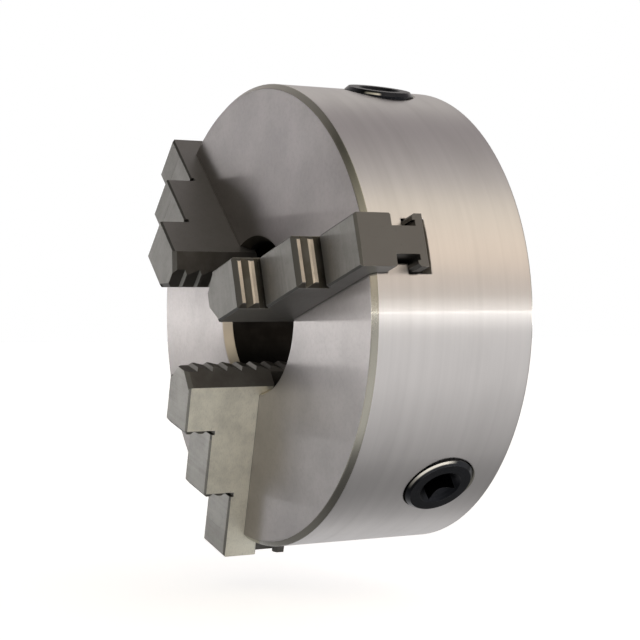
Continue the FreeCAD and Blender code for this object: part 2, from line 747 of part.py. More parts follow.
def make_back_cover():
    """Disc that closes the cavity, with a boss behind the scroll that carries its thrust."""
    inner = HUB_RADIUS + RUNNING_GAP
    cover = revolved([
        (COVER_BORE_RADIUS, REGISTER_DEPTH),
        (COVER_RADIUS, REGISTER_DEPTH),
        (COVER_RADIUS, HUB_REAR),
        (COVER_BOSS_RADIUS, HUB_REAR),
        (COVER_BOSS_RADIUS, COVER_BOSS_TOP),
        (inner, COVER_BOSS_TOP),
        (inner, HUB_REAR),
        (COVER_BORE_RADIUS, HUB_REAR),
    ])
    cuts = []
    for index in range(JAW_COUNT):
        passage = radial_cylinder(
            TAIL_PASSAGE_RADIUS, HUB_RADIUS - OVERSHOOT, COVER_BOSS_RADIUS + OVERSHOOT
        )
        cuts.append(turned(passage, pinion_angle(index)))
    head_seat = REGISTER_DEPTH + COUNTERBORE_DEPTH
    for index in range(COVER_SCREW_COUNT):
        counterbore = upright_cylinder(COUNTERBORE_RADIUS, 0, head_seat, COVER_SCREW_CIRCLE)
        shank_radius = SCREW_SHANK_RADIUS + RUNNING_GAP
        shank = upright_cylinder(shank_radius, 0, HUB_REAR + OVERSHOOT, COVER_SCREW_CIRCLE)
        cuts.append(turned(counterbore.fuse(shank), screw_angle(index)))
    return single_solid(cover.cut(cuts))


def make_cover_screw(index):
    """Low-head cap screw that holds the back cover to the body's hub."""
    head_back = screw_head_back()
    head_seat = head_back + SCREW_HEAD_HEIGHT
    screw = revolved([
        (0, head_back),
        (SCREW_HEAD_RADIUS, head_back),
        (SCREW_HEAD_RADIUS, head_seat),
        (SCREW_SHANK_RADIUS, head_seat),
        (SCREW_SHANK_RADIUS, head_seat + SCREW_LENGTH),
        (0, head_seat + SCREW_LENGTH),
    ])
    screw = screw.cut(regular_prism(HEX_SIDES, SCREW_HEX, head_back, head_back + SCREW_HEX_DEPTH, 0))
    screw.translate(FreeCAD.Vector(COVER_SCREW_CIRCLE, 0, 0))
    return single_solid(turned(screw, screw_angle(index)))


# ---- export -------------------------------------------------------------------------------

def export_node(name, shape):
    """Turn a piece from the bench frame into the part's frame and write it."""
    finished = shape.copy()
    finished.rotate(ORIGIN, X_AXIS, BENCH_TILT)
    if not finished.isValid():
        raise ValueError(name + " is not a valid solid")
    finished.exportStep("parts/" + name + ".step")


def main():
    os.makedirs("parts", exist_ok=True)
    export_node("chuck_body", make_chuck_body())
    export_node("scroll_plate", make_scroll_plate())
    export_node("back_cover", make_back_cover())
    for index in range(JAW_COUNT):
        export_node("jaw_%d" % (index + 1), make_jaw(index))
        export_node("pinion_%d" % (index + 1), make_pinion(index))
        export_node("pinion_retainer_%d" % (index + 1), make_pinion_retainer(index))
    for index in range(COVER_SCREW_COUNT):
        export_node("cover_screw_%d" % (index + 1), make_cover_screw(index))


main()
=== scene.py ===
import math

import bpy
from mathutils import Matrix, Vector


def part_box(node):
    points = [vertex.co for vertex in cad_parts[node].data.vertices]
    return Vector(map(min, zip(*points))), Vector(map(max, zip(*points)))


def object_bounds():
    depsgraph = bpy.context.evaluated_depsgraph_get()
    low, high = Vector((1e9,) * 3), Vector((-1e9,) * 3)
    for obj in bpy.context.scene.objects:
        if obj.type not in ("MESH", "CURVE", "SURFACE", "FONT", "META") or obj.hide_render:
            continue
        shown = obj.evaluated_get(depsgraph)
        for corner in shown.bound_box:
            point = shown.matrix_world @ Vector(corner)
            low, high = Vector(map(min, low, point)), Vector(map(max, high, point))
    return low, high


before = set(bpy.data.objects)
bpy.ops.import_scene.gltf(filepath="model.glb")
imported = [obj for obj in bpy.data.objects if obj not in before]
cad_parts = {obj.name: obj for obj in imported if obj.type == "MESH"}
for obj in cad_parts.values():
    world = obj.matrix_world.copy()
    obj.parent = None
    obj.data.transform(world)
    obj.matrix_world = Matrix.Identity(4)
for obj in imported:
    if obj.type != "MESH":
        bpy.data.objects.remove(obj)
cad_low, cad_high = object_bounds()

# Looks of the lathe chuck.  Metres, in the part's own frame: the chuck's axis lies along Y with
# its front face towards -Y, and +Z is up.  All the pieces are the CAD nodes, unchanged in shape,
# with procedural materials.

# ---- body: measures -----------------------------------------------------------------------

BODY_LOW, BODY_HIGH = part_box("chuck_body")
BODY_RADIUS = (BODY_HIGH.x - BODY_LOW.x) / 2.0
FACE_Y = BODY_LOW.y
BORE_EDGE = 0.0350
BODY_EDGE_ROUNDING = 0.0011
RIM_SKIN = 0.0005
# The ground finish reaches this far behind the front plane and in front of the rear one.
FRONT_DEPTH = 0.0050
REAR_SEAT_DEPTH = 0.0070
CHAMFER_WIDTH = 0.0060
SLOT_MOUTH_RADII = (0.086, 0.092)
# The bore's lip is painted lit at the lower of these heights and painted in shade above the higher.
BORE_LIP_SHADE_HEIGHTS = (-0.002, 0.010)
# Over these widths one finish gives way to the next.
FADE = 0.0004
WIDE_FADE = 0.0010

# ---- jaws: measures at rest, out from the chuck's axis --------------------------------------

FIRST_JAW_ANGLE = math.radians(15.0)
DIRECTION_STEP = math.pi / 3.0
RISERS = (0.0503, 0.0792)
SERRATION_DEPTH = 0.0019
LAND_ENDS = (0.06764, 0.09606)
JAW_HALF_WIDTH = 0.01075
RELIEF_WIDTH = 0.0019
RAIL_TOP_DEPTH = 0.0071
JAW_END = 0.1073
# Distances at which a jaw's masks are 0 and 1, measured from the edge that each follows.
SIDE_MARGIN = (0.0001, 0.0003)
CREST_REACH = (0.0005, 0.0003)
WALL_REACH = (0.0004, 0.0002)
SEAM_REACH = (0.0010, 0.0006)
END_FACE_REACH = (0.0020, 0.0015)
GROOVE_FOOT = (0.0004, 0.0001)
GROOVE_MOUTH = (-0.0001, 0.0005)
LAND_END = (-0.0003, 0.0003)
RELIEF_START = (-0.0001, 0.0001)
RELIEF_END = 0.0002

# ---- pinions: measures ----------------------------------------------------------------------

PINION_Y = -0.0274
PINION_RADIUS = 0.0150
PINION_CHAMFER_WIDTH = 0.0024
# Width of the painted highlight on each pinion's chamfer.
PINION_HIGHLIGHT_WIDTH = 0.0009

# ---- which way a face looks ---------------------------------------------------------------
# Ends of soft masks on a component of the normal: (where the mask is 0, where it is 1).

FORWARD = (-0.85, -0.95)
REARWARD = (0.85, 0.95)
AROUND = (0.50, 0.30)
STEEP_ENOUGH = (0.40, 0.60)
NOT_FLAT = (0.95, 0.85)
INTO_BORE = (-0.20, -0.35)
NOT_FORWARD = (-0.95, -0.85)
SLOT_FLOOR = (-0.5, -0.8)
JAW_FORWARD = (-0.75, -0.90)
JAW_OUTWARD = (0.75, 0.90)
JAW_INWARD = (-0.30, -0.50)
JAW_LIT_SIDE = (-0.30, 0.30)
JAW_SATIN_SIDE = (0.40, 0.70)
OFF_TOP = (-0.90, -0.60)
GROOVE_WALL = (-0.92, -0.80)
RELIEF_WALL = (-0.93, -0.85)
RELIEF_NOT_OUTWARD = (0.98, 0.90)
BEVEL_TILT = ((-0.55, -0.62), (-0.85, -0.78))
PINION_CHAMFER_TILT = ((0.45, 0.60), (0.90, 0.80))
WORN_EDGE = (0.995, 0.86)

# ---- noise: (features to the metre, octaves, roughness) -----------------------------------

TURNED_LINES = (4200.0, 3.0, 0.65)
TURNED_BANDS = (260.0, 3.0, 0.6)
RIM_PATCHES = (90.0, 3.0, 0.6)
FACED_LINES = (4200.0, 3.0, 0.6)
FACE_GRAIN = (700.0, 4.0, 0.7)
FACE_PATCHES = (45.0, 4.0, 0.6)
PITS = (2300.0, 2.0, 0.6)
JAW_SCRATCHES = (2400.0, 3.0, 0.7, 0.1)
JAW_CLOUDS = (85.0, 4.0, 0.65)
JAW_SPECKS = (1300.0, 3.0, 0.6)
JAW_EDGE_PATCHES = (130.0, 3.0, 0.6)
JAW_GRINDING = (420.0, 3.0, 0.6)
GROUND_SCRATCHES = (2600.0, 3.0, 0.7, 0.1)
GROUND_CLOUDS = (70.0, 4.0, 0.65)
GROUND_SPECKS = (1500.0, 3.0, 0.6)
OXIDE_GRAIN = (2200.0, 3.0, 0.6)
OXIDE_CLOUDS = (160.0, 3.0, 0.6)
OXIDE_RINGS = (1500.0, 2.0, 0.6)
# How far the patterns are drawn out along the turning and grinding marks.
RIM_DRAW = 0.25
SCRATCH_DRAW = 0.30
GRINDING_DRAW = 0.06

# ---- stains -------------------------------------------------------------------------------
# (ends of the pattern, greatest share, how much darker or lighter than the metal's own colour)

RIM_BAND_STAIN = ((0.36, 0.66), 1.0, 0.955)
RIM_LINE_STAIN = ((0.48, 0.74), 0.12, 0.60)
RIM_PATCH_STAIN = ((0.45, 0.75), 0.14, 0.72)
FACE_PATCH_STAIN = ((0.32, 0.68), 1.0, 0.86)
FACE_GRAIN_STAIN = ((0.42, 0.72), 0.22, 0.62)
FACE_PIT_STAIN = ((0.62, 0.80), 0.30, 0.40)
RECESS_SHADE_STAIN = ((0.35, 0.65), 1.0, 0.5)
JAW_CLOUD_STAIN = ((0.34, 0.70), 0.30, 0.62)
JAW_SCRATCH_STAIN = ((0.48, 0.76), 0.20, 0.45)
JAW_SPECK_STAIN = ((0.60, 0.80), 0.30, 1.0)
GROUND_CLOUD_STAIN = ((0.30, 0.72), 1.0, 0.78)
GROUND_SCRATCH_STAIN = ((0.46, 0.74), 0.35, 0.6)
GROUND_SPECK_STAIN = ((0.60, 0.78), 0.25, 1.0)
OXIDE_CLOUD_STAIN = ((0.3, 0.7), 1.0, 0.65)
PINION_CLOUD_STAIN = ((0.3, 0.7), 1.0, 0.6)
PINION_RING_STAIN = ((0.45, 0.70), 0.30, 1.7)
# Grinding marks on the jaws' tops: ends of the pattern and greatest share.
DARK_MARKS = ((0.50, 0.70), 0.20)
LIGHT_MARKS = ((0.46, 0.30), 0.14)
DARK_MARK_SHADE = 0.5

# ---- how strongly each finish covers what lies under it -----------------------------------

CHAMFER_SHADE = 0.6
BORE_LIP_SHADE = 0.12
GROOVE_SHADE_SHARE = 0.92
CREST_HIGHLIGHT_SHARE = 0.95
BEVEL_SHARE = 0.90
BEVEL_SHADE = 0.30
IRON_WEAR_SHARE = 0.45
IRON_WEAR_PATTERN = (0.30, 0.60)
JAW_WEAR_SHARE = 0.60
JAW_WEAR_PATTERN = (0.45, 0.62)
GROUND_WEAR_SHARE = 0.55
OXIDE_WEAR_SHARE = 0.7
OXIDE_WEAR_PATTERN = (0.35, 0.65)
PINION_WEAR_SHARE = 0.6
PINION_WEAR_PATTERN = (0.40, 0.65)
PINION_CHAMFER_PATTERN = (0.20, 0.50)

# ---- roughness, sheen and relief ----------------------------------------------------------

RIM_ROUGHNESS = 0.25
FACE_ROUGHNESS = 0.31
RECESS_ROUGHNESS = 0.46
CHAMFER_ROUGHNESS = 0.20
IRON_ROUGHNESS_SPREAD = 0.12
TURNED_ANISOTROPY = 0.88
TURNED_ROTATION = 0.25
JAW_ROUGHNESS = 0.38
JAW_ROUGHNESS_SPREAD = 0.16
CREST_ROUGHNESS = 0.26
JAW_METALLIC = 0.92
CREST_SATIN = 0.70
SIDE_SATIN = 0.40
COVER_ROUGHNESS = 0.32
SCROLL_ROUGHNESS = 0.28
SCREW_ROUGHNESS = 0.33
GROUND_ROUGHNESS_SPREAD = 0.14
OXIDE_ROUGHNESS_SPREAD = 0.12
PINION_ROUGHNESS = 0.30
PINION_CHAMFER_ROUGHNESS = 0.14
BEVEL_SAMPLES = 6
IRON_WEAR_RADIUS = 0.00045
STEEL_WEAR_RADIUS = 0.00035
OXIDE_WEAR_RADIUS = 0.0005
# Relief in the shading: (depth, strength), and the share of each pattern in it.
IRON_RELIEF = (0.000010, 0.5)
JAW_RELIEF = (0.000016, 0.6)
GROUND_RELIEF = (0.000014, 0.6)
OXIDE_RELIEF = (0.00002, 0.5)
PINION_RELIEF = (0.00002, 0.4)
FACED_LINE_RELIEF = 0.5
PIT_RELIEF = 0.6
SPECK_RELIEF = 0.4

# ---- colours ------------------------------------------------------------------------------

BLUE_PER_WARMTH = 1.6


def grey(level, warmth=0.0):
    """A grey colour; positive warmth leans it towards beige, negative towards blue."""
    return (level * (1.0 + warmth), level, level * (1.0 - BLUE_PER_WARMTH * warmth), 1.0)


def shade(color, share):
    """The same colour, darker (share below 1) or lighter."""
    return tuple(share * channel for channel in color[:3]) + (1.0,)


RIM_COLOR = (0.665, 0.640, 0.620, 1.0)
FACE_COLOR = (0.455, 0.430, 0.424, 1.0)
# Painted shade: the bore, slots and cavity are painted near-black.
RECESS_PAINTED_SHADE = (0.030, 0.027, 0.024, 1.0)
CHAMFER_COLOR = (0.44, 0.42, 0.36, 1.0)
SLOT_MOUTH_COLOR = (0.60, 0.56, 0.50, 1.0)
# Painted light on the lower part of the bore's lip.
BORE_LIP_PAINTED_LIGHT = (0.62, 0.56, 0.47, 1.0)
IRON_EDGE = grey(0.72, 0.02)
JAW_TOP = (0.330, 0.322, 0.300, 1.0)
JAW_LAND = (0.360, 0.352, 0.330, 1.0)
# Painted light and shade: one side of each jaw is painted lit, the other painted in shade.
JAW_PAINTED_LIT_SIDE = (0.740, 0.720, 0.610, 1.0)
JAW_PAINTED_SHADED_SIDE = (0.270, 0.262, 0.250, 1.0)
JAW_END_COLOR = (0.165, 0.162, 0.155, 1.0)
# Painted shade on the part of each jaw that lies inside the body's slot.
JAW_BURIED_PAINTED_SHADE = (0.060, 0.055, 0.048, 1.0)
# Painted shade on the tip faces that look in towards the axis.
JAW_TIP_PAINTED_SHADE = (0.100, 0.092, 0.082, 1.0)
# Painted shade in the serration grooves and the reliefs under the risers.
JAW_GROOVE_PAINTED_SHADE = (0.045, 0.038, 0.026, 1.0)
# Painted highlight on the serration crests.
JAW_CREST_PAINTED_HIGHLIGHT = (0.860, 0.740, 0.600, 1.0)
JAW_WALL = (0.400, 0.390, 0.360, 1.0)
JAW_EDGE = (0.560, 0.550, 0.520, 1.0)
JAW_EDGE_DARK = (0.060, 0.055, 0.045, 1.0)
JAW_SPECK = grey(0.06, 0.10)
# Painted light: each jaw's whole colour is made darker or lighter to the light that falls on it.
JAW_PAINTED_LIGHT_LEVEL = {"jaw_1": 0.76, "jaw_2": 0.76, "jaw_3": 1.10}
PINION_BLACK = (0.018, 0.019, 0.022, 1.0)
PINION_CHAMFER = (0.030, 0.031, 0.034, 1.0)
PINION_RUB = (0.150, 0.150, 0.150, 1.0)
# Painted highlight on one arc of each pinion's chamfer.
PINION_PAINTED_HIGHLIGHT = (0.950, 0.900, 0.780, 1.0)
COVER_COLOR = grey(0.50, 0.02)
COVER_EDGE = grey(0.70, 0.02)
SCROLL_COLOR = grey(0.42, 0.03)
SCROLL_EDGE = grey(0.66, 0.02)
GROUND_SPECK = grey(0.10, 0.10)
SCREW_COLOR = grey(0.030, -0.02)
SCREW_EDGE = grey(0.20)
# Middle and half width of each pinion's painted highlight arc, in degrees.
PINION_HIGHLIGHT_ARC = {"pinion_1": (-139.0, 16.0), "pinion_2": (-40.0, 40.0), "pinion_3": (-42.0, 52.0)}

# ---- camera and room ----------------------------------------------------------------------

CAMERA_AZIMUTH = 61.17
CAMERA_ELEVATION = -0.27
CAMERA_ROLL = -0.57
CAMERA_DISTANCE = 0.7182
CAMERA_TARGET = Vector((0.0, -0.0435, -0.0022))
CAMERA_LENS = 90.92
SENSOR_WIDTH = 36.0
CAMERA_CLIP = (0.01, 100.0)

# Room below the lowest jaw for its travel outwards, so that it never meets the floor.
JAW_TRAVEL_OUT = 0.0150
FLOOR_GAP = 0.0005
FLOOR_RADIUS = 14.0
FLOOR_COLOR = (0.88, 0.88, 0.88, 1.0)
FLOOR_GLOW = 0.70
FLOOR_CORNERS = 96
FLOOR_ROUGHNESS = 0.9
FLOOR_SPECULAR = 0.1
# In front of the chuck the floor's light is even: its level on the left and on the right, and
# where that change of level and the front stretch itself begin and end.
FRONT_FLOOR = (0.66, 0.95)
FRONT_FLOOR_CHANGE = (0.0, 0.10)
FRONT_FLOOR_EDGE = (-0.130, -0.165)
FRONT_FLOOR_END = (-0.9, -0.5)
# The chuck's own shade on the floor, just in front of its face.
UNDER_FACE_DEPTH = (-0.055, -0.078)
UNDER_FACE_WIDTH = (0.14, 0.10)
UNDER_FACE_SHARE = 0.6
UNDER_FACE_LEVEL = 0.05
# Light that the floor sends into the metal, across the chuck's width: (x in metres, level).
FLOOR_REACH = 0.4
FLOOR_BANDS = (
    (-0.10, 0.66),
    (0.018, 0.66),
    (0.041, 0.40),
    (0.062, 0.29),
    (0.082, 0.33),
    (0.110, 0.51),
    (0.153, 0.64),
    (0.228, 0.81),
    (0.384, 0.84),
)

# Brightness round the chuck's axis, from the horizon on the right over the top to the left:
# (angle in degrees, colour).
BACK_BANDS = (
    (0.0, (0.66, 0.62, 0.58)),
    (14.0, (0.80, 0.72, 0.66)),
    (30.0, (1.20, 1.03, 0.87)),
    (54.0, (1.10, 1.01, 0.88)),
    (68.0, (0.72, 0.68, 0.66)),
    (84.0, (0.52, 0.49, 0.49)),
    (100.0, (0.42, 0.39, 0.40)),
    (114.0, (0.40, 0.37, 0.38)),
    (130.0, (0.70, 0.67, 0.65)),
    (155.0, (0.56, 0.53, 0.52)),
    (180.0, (0.56, 0.53, 0.51)),
)
FRONT_BANDS = (
    (0.0, (0.80, 0.76, 0.70)),
    (30.0, (1.10, 0.98, 0.84)),
    (44.0, (0.98, 0.90, 0.78)),
    (62.0, (0.74, 0.70, 0.60)),
    (80.0, (0.32, 0.31, 0.27)),
    (96.0, (0.09, 0.088, 0.080)),
    (106.0, (0.22, 0.21, 0.20)),
    (120.0, (0.36, 0.35, 0.35)),
    (138.0, (0.44, 0.425, 0.43)),
    (160.0, (0.44, 0.42, 0.425)),
    (180.0, (0.46, 0.44, 0.445)),
)
FRONT_EDGE = 0.25
HORIZON_HEIGHT = 0.020
HORIZON_GLOW = 7.0
HORIZON_WARMTH = 0.01
FRONT_HORIZON_SHARE = 0.86
WHITE = (1.0, 1.0, 1.0, 1.0)


# ---- node shorthand -----------------------------------------------------------------------

class Graph:
    """Builds a node tree by plain calls; an input may be a number, a colour or a socket."""

    def __init__(self, tree):
        self.tree = tree
        tree.nodes.clear()

    def feed(self, socket, value):
        if isinstance(value, bpy.types.NodeSocket):
            self.tree.links.new(value, socket)
        elif value is not None:
            socket.default_value = value

    def node(self, kind, inputs=None, **settings):
        made = self.tree.nodes.new(kind)
        for name, value in settings.items():
            setattr(made, name, value)
        for name, value in (inputs or {}).items():
            self.feed(made.inputs[name], value)
        return made

    def math(self, operation, first, second=None, third=None, clamp=False):
        made = self.node("ShaderNodeMath", operation=operation, use_clamp=clamp)
        for socket, value in zip(made.inputs, (first, second, third)):
            self.feed(socket, value)
        return made.outputs[0]

    def part(self, value, share):
        return self.math("MULTIPLY", value, share)

    def both(self, first, second):
        return self.math("MULTIPLY", first, second)

    def either(self, first, *others):
        result = first
        for other in others:
            result = self.math("MAXIMUM", result, other)
        return result

    def length(self, first, second):
        squares = self.math("ADD", self.both(first, first), self.both(second, second))
        return self.math("SQRT", squares)

    def mix(self, factor, first, second, blend="MIX"):
        made = self.node("ShaderNodeMix", data_type="RGBA", blend_type=blend)
        self.feed(made.inputs[0], factor)
        self.feed(made.inputs[6], first)
        self.feed(made.inputs[7], second)
        return made.outputs[2]

    def blend(self, factor, first, second):
        made = self.node("ShaderNodeMix", data_type="FLOAT")
        self.feed(made.inputs[0], factor)
        self.feed(made.inputs[2], first)
        self.feed(made.inputs[3], second)
        return made.outputs[0]

    def split(self, vector):
        return self.node("ShaderNodeSeparateXYZ", {"Vector": vector}).outputs

    def join(self, x, y, z):
        return self.node("ShaderNodeCombineXYZ", {"X": x, "Y": y, "Z": z}).outputs[0]

    def step(self, value, low, high):
        """0 below low, 1 above high, smooth between; with low above high it falls instead."""
        made = self.node("ShaderNodeMapRange", interpolation_type="SMOOTHSTEP")
        rising = high > low
        ends = (low, high, 0.0, 1.0) if rising else (high, low, 1.0, 0.0)
        for name, end in zip(("From Min", "From Max", "To Min", "To Max"), ends):
            made.inputs[name].default_value = end
        self.feed(made.inputs["Value"], value)
        return made.outputs["Result"]

    def window(self, value, rise, fall):
        """1 between two soft ends, each given as (where it is 0, where it is 1)."""
        return self.both(self.step(value, *rise), self.step(value, *fall))

    def near(self, value, middle, far, close):
        """1 where value is within close of middle, 0 beyond far."""
        return self.step(self.math("ABSOLUTE", self.math("SUBTRACT", value, middle)), far, close)

    def along(self, turn, x, z):
        """How far (x, z) reaches in the direction whose cosine and sine are turn."""
        return self.math("ADD", self.part(x, turn[0]), self.part(z, turn[1]))

    def aside(self, turn, x, z):
        """How far (x, z) reaches square to that direction."""
        return self.math("SUBTRACT", self.part(z, turn[0]), self.part(x, turn[1]))

    def layer(self, under, mask, share, over):
        """Colour over laid on colour under, by share where mask is 1."""
        return self.mix(self.part(mask, share), under, over)

    def stain(self, under, pattern, setting, color):
        """Lays a darker or lighter color on colour under, where a pattern is strong."""
        ends, share, strength = setting
        return self.layer(under, self.step(pattern, *ends), share, shade(color, strength))

    def spread(self, base, pattern, amount):
        """base plus up to amount, following a pattern."""
        return self.math("ADD", base, self.part(pattern, amount))

    def noise(self, vector, scale, detail, roughness, distortion=0.0):
        made = self.node("ShaderNodeTexNoise", noise_dimensions="3D")
        self.feed(made.inputs["Vector"], vector)
        made.inputs["Scale"].default_value = scale
        made.inputs["Detail"].default_value = detail
        made.inputs["Roughness"].default_value = roughness
        made.inputs["Distortion"].default_value = distortion
        return made.outputs[0]

    def ramp(self, value, stops):
        made = self.node("ShaderNodeValToRGB")
        elements = made.color_ramp.elements
        while len(elements) > 1:
            elements.remove(elements[-1])
        elements[0].position = stops[0][0]
        elements[0].color = (*stops[0][1], 1.0)
        for position, color in stops[1:]:
            elements.new(position).color = (*color, 1.0)
        self.feed(made.inputs[0], value)
        return made.outputs[0]

    def output(self, kind, shader):
        self.node(kind, {"Surface": shader})


# ---- surfaces -----------------------------------------------------------------------------

def edge_wear(graph, radius):
    """1 on convex and concave edges closer than radius, 0 on open surface."""
    rounded = graph.node("ShaderNodeBevel", samples=BEVEL_SAMPLES)
    rounded.inputs["Radius"].default_value = radius
    plain = graph.node("ShaderNodeNewGeometry")
    product = graph.node("ShaderNodeVectorMath", operation="DOT_PRODUCT")
    graph.feed(product.inputs[0], rounded.outputs["Normal"])
    graph.feed(product.inputs[1], plain.outputs["Normal"])
    return graph.step(product.outputs["Value"], *WORN_EDGE)


def metal(name):
    """A bare metallic material, with its graph, its shader, object coordinates and flat normals."""
    material = bpy.data.materials.new(name)
    material.use_nodes = True
    graph = Graph(material.node_tree)
    shader = graph.node("ShaderNodeBsdfPrincipled")
    shader.inputs["Metallic"].default_value = 1.0
    graph.output("ShaderNodeOutputMaterial", shader.outputs[0])
    spot = graph.node("ShaderNodeTexCoord").outputs["Object"]
    facing = graph.node("ShaderNodeNewGeometry").outputs["True Normal"]
    return material, graph, shader, spot, facing


def bump(graph, shader, height, relief, base=None):
    """Shading relief from a height pattern, on top of the normal given as base."""
    distance, strength = relief
    made = graph.node("ShaderNodeBump", {"Height": height, "Distance": distance, "Strength": strength})
    if base is not None:
        graph.feed(made.inputs["Normal"], base)
    graph.feed(shader.inputs["Normal"], made.outputs[0])


def ring_tangent(graph, shader):
    """Stretches highlights across turning marks that run round the Y axis."""
    tangent = graph.node("ShaderNodeTangent", direction_type="RADIAL", axis="Y")
    graph.feed(shader.inputs["Tangent"], tangent.outputs[0])
    shader.inputs["Anisotropic"].default_value = TURNED_ANISOTROPY
    shader.inputs["Anisotropic Rotation"].default_value = TURNED_ROTATION


def turned_iron(name, rim_color, face_color, recess_shade_color):
    """Body iron: bright turned rim, finely faced front, and painted shade that leaves the bore, slots
    and cavity near-black.
    """
    material, graph, shader, spot, facing = metal(name)
    x, y, z = graph.split(spot)
    ny = graph.split(facing)[1]
    tilt = graph.math("ABSOLUTE", ny)
    radius = graph.length(x, z)
    on_rim = graph.both(
        graph.step(radius, BODY_RADIUS - RIM_SKIN - FADE, BODY_RADIUS - RIM_SKIN),
        graph.step(tilt, *AROUND),
    )
    front = graph.step(y, FACE_Y + FRONT_DEPTH, FACE_Y + FRONT_DEPTH - 2.0 * FADE)
    rear = graph.step(y, -REAR_SEAT_DEPTH, WIDE_FADE - REAR_SEAT_DEPTH)
    on_face = graph.either(
        graph.both(graph.step(ny, *FORWARD), front),
        graph.both(graph.step(ny, *REARWARD), rear),
    )
    rim_chamfer = graph.both(
        graph.window(tilt, STEEP_ENOUGH, NOT_FLAT),
        graph.step(radius, BODY_RADIUS - CHAMFER_WIDTH, BODY_RADIUS - CHAMFER_WIDTH + WIDE_FADE),
    )
    bore_chamfer = graph.both(
        graph.window(ny, INTO_BORE, NOT_FORWARD),
        graph.step(radius, BORE_EDGE + FADE, BORE_EDGE),
    )
    slot_mouth = graph.both(graph.step(radius, *SLOT_MOUTH_RADII), graph.step(ny, *SLOT_FLOOR))

    # Turning marks are fine rings: along the axis on the rim and along the radius on the face.
    along = graph.join(0.0, y, 0.0)
    across = graph.join(0.0, radius, 0.0)
    drawn = graph.join(graph.part(x, RIM_DRAW), y, graph.part(z, RIM_DRAW))
    rim_fine = graph.noise(along, *TURNED_LINES)
    rim_bands = graph.noise(along, *TURNED_BANDS)
    rim_patch = graph.noise(drawn, *RIM_PATCHES)
    face_fine = graph.noise(across, *FACED_LINES)
    face_grain = graph.noise(spot, *FACE_GRAIN)
    face_patch = graph.noise(spot, *FACE_PATCHES)
    pits = graph.noise(spot, *PITS)

    rim = graph.stain(rim_color, rim_bands, RIM_BAND_STAIN, rim_color)
    rim = graph.stain(rim, rim_fine, RIM_LINE_STAIN, rim_color)
    rim = graph.stain(rim, rim_patch, RIM_PATCH_STAIN, rim_color)
    face = graph.stain(face_color, face_patch, FACE_PATCH_STAIN, face_color)
    face = graph.stain(face, face_grain, FACE_GRAIN_STAIN, face_color)
    face = graph.stain(face, pits, FACE_PIT_STAIN, face_color)
    # Painted shade on the bore, slots and cavity, with stains on it and bright slot mouths.
    dark = graph.stain(recess_shade_color, face_patch, RECESS_SHADE_STAIN, recess_shade_color)
    dark = graph.mix(slot_mouth, dark, SLOT_MOUTH_COLOR)
    chamfer = graph.mix(rim_patch, CHAMFER_COLOR, shade(CHAMFER_COLOR, CHAMFER_SHADE))
    # Painted light and shade: the bore's lip is painted lit low down and painted in shade higher up.
    lip_shade = shade(BORE_LIP_PAINTED_LIGHT, BORE_LIP_SHADE)
    lip_light_and_shade = graph.mix(graph.step(z, *BORE_LIP_SHADE_HEIGHTS), BORE_LIP_PAINTED_LIGHT, lip_shade)
    color = graph.mix(on_face, dark, face)
    color = graph.mix(on_rim, color, rim)
    color = graph.mix(rim_chamfer, color, chamfer)
    color = graph.mix(bore_chamfer, color, lip_light_and_shade)
    worn = graph.both(edge_wear(graph, IRON_WEAR_RADIUS), graph.step(face_grain, *IRON_WEAR_PATTERN))
    color = graph.layer(color, worn, IRON_WEAR_SHARE, IRON_EDGE)
    graph.feed(shader.inputs["Base Color"], color)

    face_rough = graph.spread(FACE_ROUGHNESS, face_grain, IRON_ROUGHNESS_SPREAD)
    rim_rough = graph.spread(RIM_ROUGHNESS, rim_patch, IRON_ROUGHNESS_SPREAD)
    rough = graph.blend(on_face, RECESS_ROUGHNESS, face_rough)
    rough = graph.blend(on_rim, rough, rim_rough)
    rough = graph.blend(rim_chamfer, rough, CHAMFER_ROUGHNESS)
    graph.feed(shader.inputs["Roughness"], rough)
    ring_tangent(graph, shader)

    face_height = graph.spread(graph.part(face_fine, FACED_LINE_RELIEF), pits, PIT_RELIEF)
    height = graph.blend(on_rim, face_height, graph.math("ADD", rim_fine, rim_bands))
    softened = graph.node("ShaderNodeBevel", samples=BEVEL_SAMPLES)
    softened.inputs["Radius"].default_value = BODY_EDGE_ROUNDING
    bump(graph, shader, height, IRON_RELIEF, softened.outputs["Normal"])
    return material


